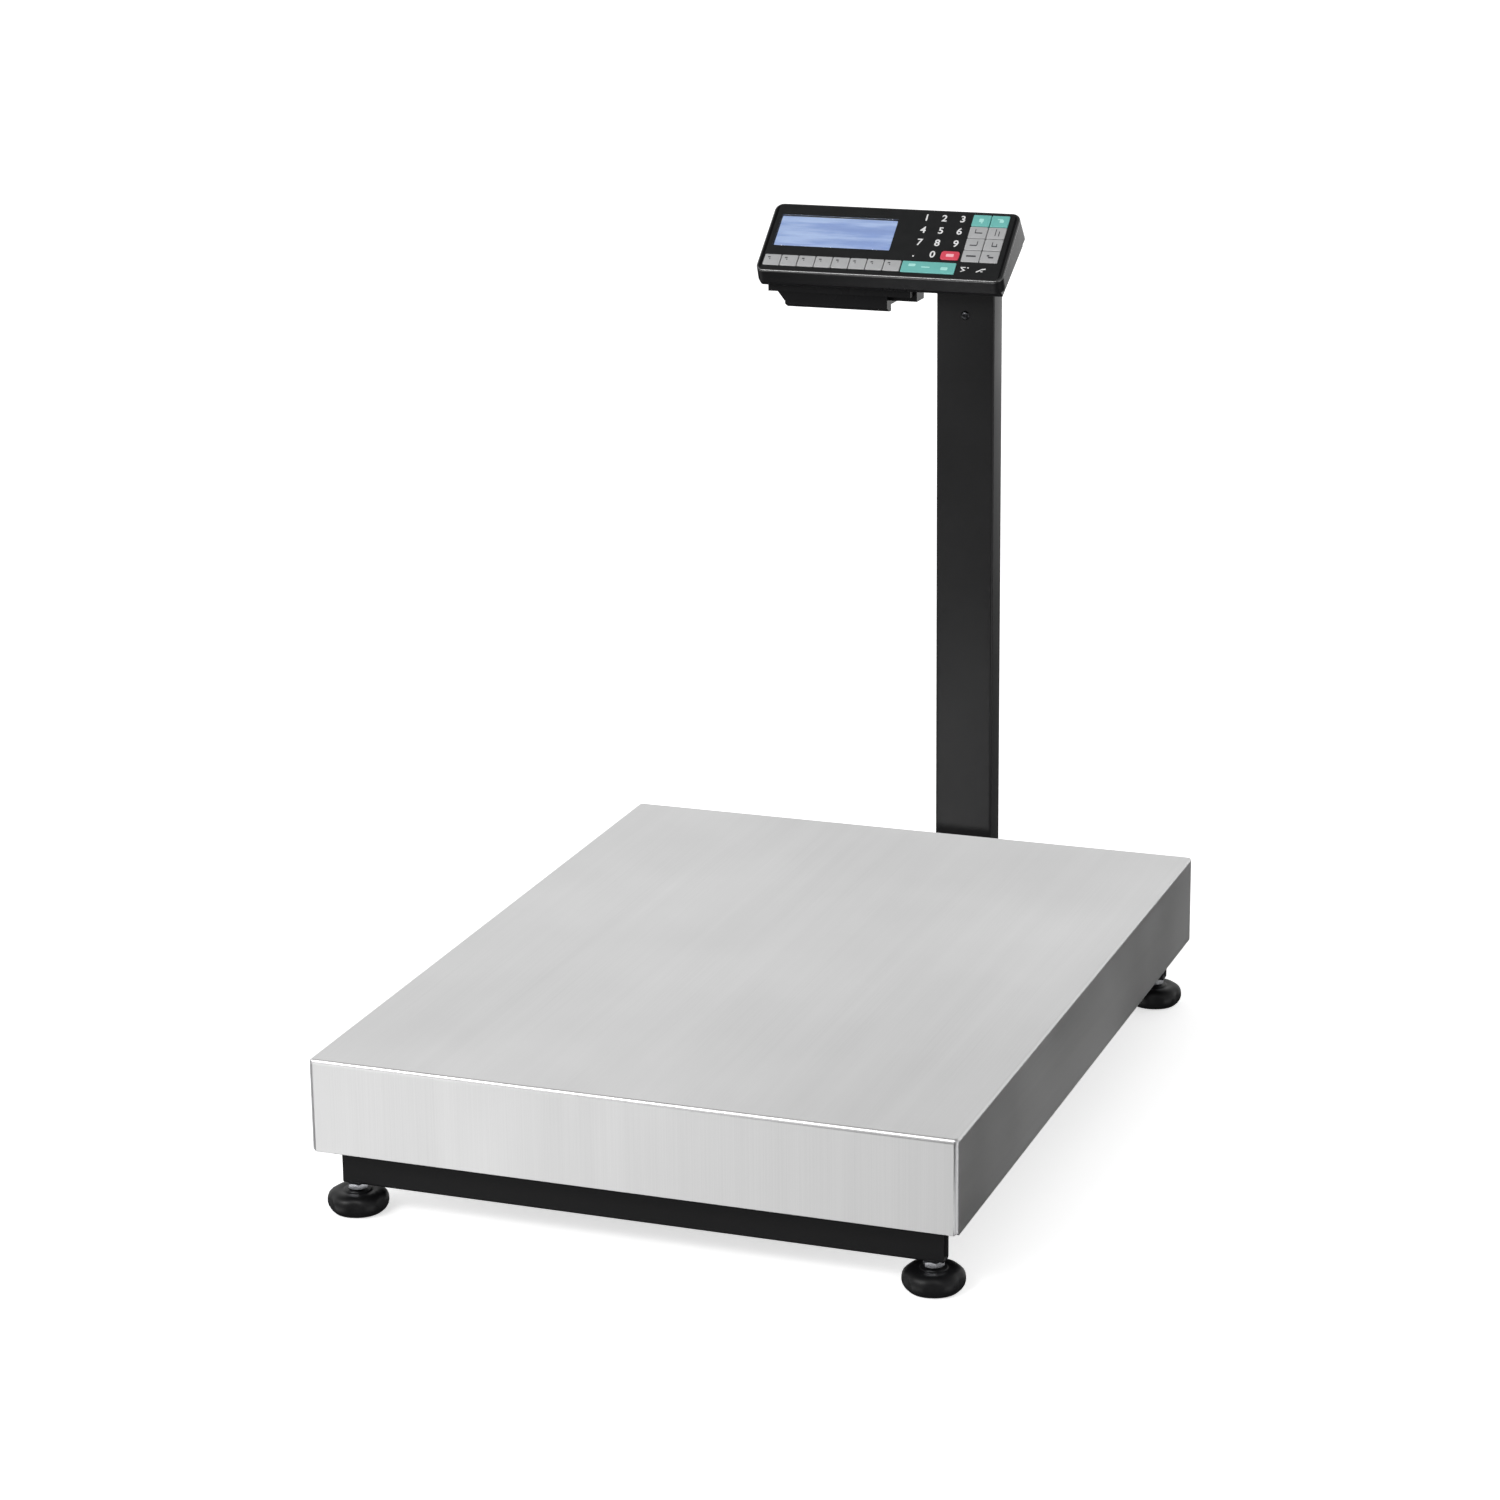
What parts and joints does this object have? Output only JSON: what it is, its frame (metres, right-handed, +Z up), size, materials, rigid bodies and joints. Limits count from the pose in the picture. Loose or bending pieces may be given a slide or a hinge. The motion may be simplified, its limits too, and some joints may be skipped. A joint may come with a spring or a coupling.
{
  "type": "label printing scale",
  "caption": "Floor-standing platform scale: low stainless platform on levelling feet, post at the rear with a tilted keypad and display terminal that prints labels.",
  "frame": {"origin": "on the floor, under the centre of the bounding box", "axes": "+Z up, +X to the operator's right, -Y towards the operator; the post and terminal stand at the +Y end"},
  "size_m": [0.6, 0.85, 0.7891],
  "materials": {
    "stainless": "fine brushed stainless sheet",
    "frame_paint": "satin black powder coat",
    "cell_metal": "milled and clear anodised",
    "zinc_steel": "bright zinc plate",
    "pad_rubber": "matt black rubber",
    "foot_plastic": "black moulded nylon",
    "case_plastic": "black moulded plastic, fine texture",
    "foil_black": "black printed film, satin",
    "key_grey": "light grey film",
    "key_teal": "teal film",
    "key_red": "red film",
    "lens": "clear window",
    "display": "backlit liquid crystal module",
    "circuit": "green solder mask",
    "switch_black": "switch housings",
    "gear_plastic": "natural acetal",
    "label_paper": "white label web"
  },
  "bodies": {
    "base": {"base_rails": "frame_paint", "front_beam": "frame_paint", "rear_beam": "frame_paint", "cell_mount_plate": "frame_paint", "load_cell": "cell_metal", "cell_base_bolts": "zinc_steel", "overload_stops": "zinc_steel", "foot_lock_nuts": "zinc_steel", "spirit_level": "lens", "post_saddle": "frame_paint", "post_tube": "frame_paint", "post_fasteners": "zinc_steel", "terminal_bracket": "frame_paint", "terminal_lower_case": "case_plastic", "terminal_upper_case": "case_plastic", "keypad_foil": "foil_black", "display_lens": "lens", "display_module": "display", "main_board": "circuit", "key_switches": "switch_black", "power_inlet": "switch_black", "case_screws": "zinc_steel", "printer_bay": "case_plastic", "door_pin": "zinc_steel", "print_head": "cell_metal", "printer_motor": "zinc_steel", "roll_spindle": "gear_plastic"},
    "live_frame": {"live_plate": "frame_paint", "cell_live_bolts": "zinc_steel", "upper_rails": "frame_paint", "upper_cross_members": "frame_paint", "cover_pads": "pad_rubber"},
    "cover": {"platform_cover": "stainless"},
    "door": {"printer_door": "case_plastic"},
    "platen": {"platen_roller": "pad_rubber", "platen_gear": "gear_plastic"},
    "pinion": {"motor_pinion": "gear_plastic"},
    "roll": {"label_roll": "label_paper"},
    "foot_front_left": {"foot_front_left": "foot_plastic"},
    "foot_front_right": {"foot_front_right": "foot_plastic"},
    "foot_rear_left": {"foot_rear_left": "foot_plastic"},
    "foot_rear_right": {"foot_rear_right": "foot_plastic"},
    "function_key_1": {"function_key_1": "key_grey"},
    "function_key_2": {"function_key_2": "key_grey"},
    "function_key_3": {"function_key_3": "key_grey"},
    "function_key_4": {"function_key_4": "key_grey"},
    "function_key_5": {"function_key_5": "key_grey"},
    "function_key_6": {"function_key_6": "key_grey"},
    "function_key_7": {"function_key_7": "key_grey"},
    "function_key_8": {"function_key_8": "key_grey"},
    "wide_key": {"wide_key": "key_teal"},
    "red_key": {"red_key": "key_red"},
    "block_key_11": {"block_key_11": "key_teal"},
    "block_key_12": {"block_key_12": "key_teal"},
    "block_key_21": {"block_key_21": "key_grey"},
    "block_key_22": {"block_key_22": "key_grey"},
    "block_key_31": {"block_key_31": "key_grey"},
    "block_key_32": {"block_key_32": "key_grey"},
    "block_key_41": {"block_key_41": "key_grey"},
    "block_key_42": {"block_key_42": "key_grey"}
  },
  "joints": [
    {"name": "cell_travel", "type": "slide", "parent": "base", "child": "live_frame", "axis": [0, 0, -1], "range_m": [0, 0.0006], "stiffness_N_per_m": 3000000, "springref_m": -0.00008, "deforming": ["load_cell"]},
    {"name": "cover_lift", "type": "slide", "parent": "live_frame", "child": "cover", "axis": [0, 0, 1], "range_m": [0, 0.15]},
    {"name": "foot_screw_front_left", "type": "slide", "parent": "base", "child": "foot_front_left", "axis": [0, 0, -1], "range_m": [-0.001, 0.02]},
    {"name": "foot_screw_front_right", "type": "slide", "parent": "base", "child": "foot_front_right", "axis": [0, 0, -1], "range_m": [-0.001, 0.02]},
    {"name": "foot_screw_rear_left", "type": "slide", "parent": "base", "child": "foot_rear_left", "axis": [0, 0, -1], "range_m": [-0.001, 0.02]},
    {"name": "foot_screw_rear_right", "type": "slide", "parent": "base", "child": "foot_rear_right", "axis": [0, 0, -1], "range_m": [-0.001, 0.02]},
    {"name": "door_hinge", "type": "hinge", "parent": "base", "child": "door", "pos_m": [-0.0925, 0.422, 0.7017], "axis": [-1, 0, 0], "range_deg": [0, 100]},
    {"name": "platen_spin", "type": "hinge", "parent": "base", "child": "platen", "pos_m": [-0.0925, 0.3728, 0.7055], "axis": [1, 0, 0], "continuous": true},
    {"name": "pinion_spin", "type": "hinge", "parent": "base", "child": "pinion", "pos_m": [-0.053, 0.38025, 0.71072], "axis": [1, 0, 0], "continuous": true},
    {"name": "roll_spin", "type": "hinge", "parent": "base", "child": "roll", "pos_m": [-0.0925, 0.4015, 0.7172], "axis": [1, 0, 0], "continuous": true},
    {"name": "press_function_key_1", "type": "slide", "parent": "base", "child": "function_key_1", "axis": [0, 0.6428, -0.766], "range_m": [0, 0.0005], "stiffness_N_per_m": 1200, "springref_m": -0.0005},
    {"name": "press_function_key_2", "type": "slide", "parent": "base", "child": "function_key_2", "axis": [0, 0.6428, -0.766], "range_m": [0, 0.0005], "stiffness_N_per_m": 1200, "springref_m": -0.0005},
    {"name": "press_function_key_3", "type": "slide", "parent": "base", "child": "function_key_3", "axis": [0, 0.6428, -0.766], "range_m": [0, 0.0005], "stiffness_N_per_m": 1200, "springref_m": -0.0005},
    {"name": "press_function_key_4", "type": "slide", "parent": "base", "child": "function_key_4", "axis": [0, 0.6428, -0.766], "range_m": [0, 0.0005], "stiffness_N_per_m": 1200, "springref_m": -0.0005},
    {"name": "press_function_key_5", "type": "slide", "parent": "base", "child": "function_key_5", "axis": [0, 0.6428, -0.766], "range_m": [0, 0.0005], "stiffness_N_per_m": 1200, "springref_m": -0.0005},
    {"name": "press_function_key_6", "type": "slide", "parent": "base", "child": "function_key_6", "axis": [0, 0.6428, -0.766], "range_m": [0, 0.0005], "stiffness_N_per_m": 1200, "springref_m": -0.0005},
    {"name": "press_function_key_7", "type": "slide", "parent": "base", "child": "function_key_7", "axis": [0, 0.6428, -0.766], "range_m": [0, 0.0005], "stiffness_N_per_m": 1200, "springref_m": -0.0005},
    {"name": "press_function_key_8", "type": "slide", "parent": "base", "child": "function_key_8", "axis": [0, 0.6428, -0.766], "range_m": [0, 0.0005], "stiffness_N_per_m": 1200, "springref_m": -0.0005},
    {"name": "press_wide_key", "type": "slide", "parent": "base", "child": "wide_key", "axis": [0, 0.6428, -0.766], "range_m": [0, 0.0005], "stiffness_N_per_m": 1200, "springref_m": -0.0005},
    {"name": "press_red_key", "type": "slide", "parent": "base", "child": "red_key", "axis": [0, 0.6428, -0.766], "range_m": [0, 0.0005], "stiffness_N_per_m": 1200, "springref_m": -0.0005},
    {"name": "press_block_key_11", "type": "slide", "parent": "base", "child": "block_key_11", "axis": [0, 0.6428, -0.766], "range_m": [0, 0.0005], "stiffness_N_per_m": 1200, "springref_m": -0.0005},
    {"name": "press_block_key_12", "type": "slide", "parent": "base", "child": "block_key_12", "axis": [0, 0.6428, -0.766], "range_m": [0, 0.0005], "stiffness_N_per_m": 1200, "springref_m": -0.0005},
    {"name": "press_block_key_21", "type": "slide", "parent": "base", "child": "block_key_21", "axis": [0, 0.6428, -0.766], "range_m": [0, 0.0005], "stiffness_N_per_m": 1200, "springref_m": -0.0005},
    {"name": "press_block_key_22", "type": "slide", "parent": "base", "child": "block_key_22", "axis": [0, 0.6428, -0.766], "range_m": [0, 0.0005], "stiffness_N_per_m": 1200, "springref_m": -0.0005},
    {"name": "press_block_key_31", "type": "slide", "parent": "base", "child": "block_key_31", "axis": [0, 0.6428, -0.766], "range_m": [0, 0.0005], "stiffness_N_per_m": 1200, "springref_m": -0.0005},
    {"name": "press_block_key_32", "type": "slide", "parent": "base", "child": "block_key_32", "axis": [0, 0.6428, -0.766], "range_m": [0, 0.0005], "stiffness_N_per_m": 1200, "springref_m": -0.0005},
    {"name": "press_block_key_41", "type": "slide", "parent": "base", "child": "block_key_41", "axis": [0, 0.6428, -0.766], "range_m": [0, 0.0005], "stiffness_N_per_m": 1200, "springref_m": -0.0005},
    {"name": "press_block_key_42", "type": "slide", "parent": "base", "child": "block_key_42", "axis": [0, 0.6428, -0.766], "range_m": [0, 0.0005], "stiffness_N_per_m": 1200, "springref_m": -0.0005}
  ],
  "couplings": [
    {"joint": "pinion_spin", "follows": "platen_spin", "ratio": -2}
  ]
}
